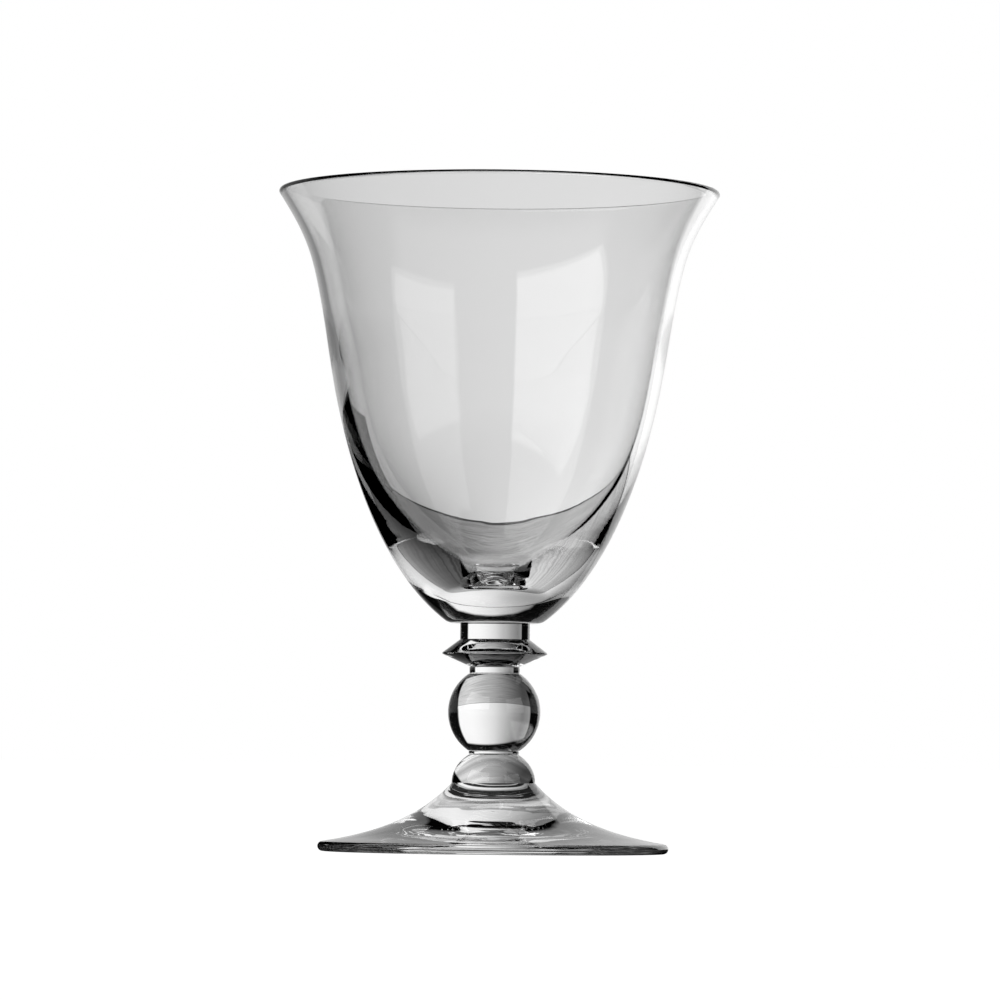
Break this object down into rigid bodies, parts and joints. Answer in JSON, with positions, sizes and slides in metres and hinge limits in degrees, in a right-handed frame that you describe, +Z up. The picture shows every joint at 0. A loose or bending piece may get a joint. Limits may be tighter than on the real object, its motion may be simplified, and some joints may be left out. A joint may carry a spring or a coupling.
{
  "type": "water goblet",
  "caption": "Clear stemmed water glass: flared bell bowl with a heavy base, short knopped stem with a sharp-edged collar and a ball, and a spreading round foot.",
  "frame": {"origin": "centre of the flat ring under the foot, on the surface that the glass stands on", "axes": "+Z up along the axis of the glass, from the foot to the rim; X and Y level, in no special direction because the glass is round"},
  "size_m": [0.0932, 0.0932, 0.14],
  "materials": {
    "clear_glass": "clear colourless soda-lime or crystalline glass, fire-polished, with faint round tool marks"
  },
  "bodies": {
    "root": {"foot": "clear_glass", "base_knop": "clear_glass", "lower_wafer": "clear_glass", "ball_knop": "clear_glass", "upper_wafer": "clear_glass", "merese": "clear_glass", "neck": "clear_glass", "bowl": "clear_glass"}
  },
  "joints": []
}
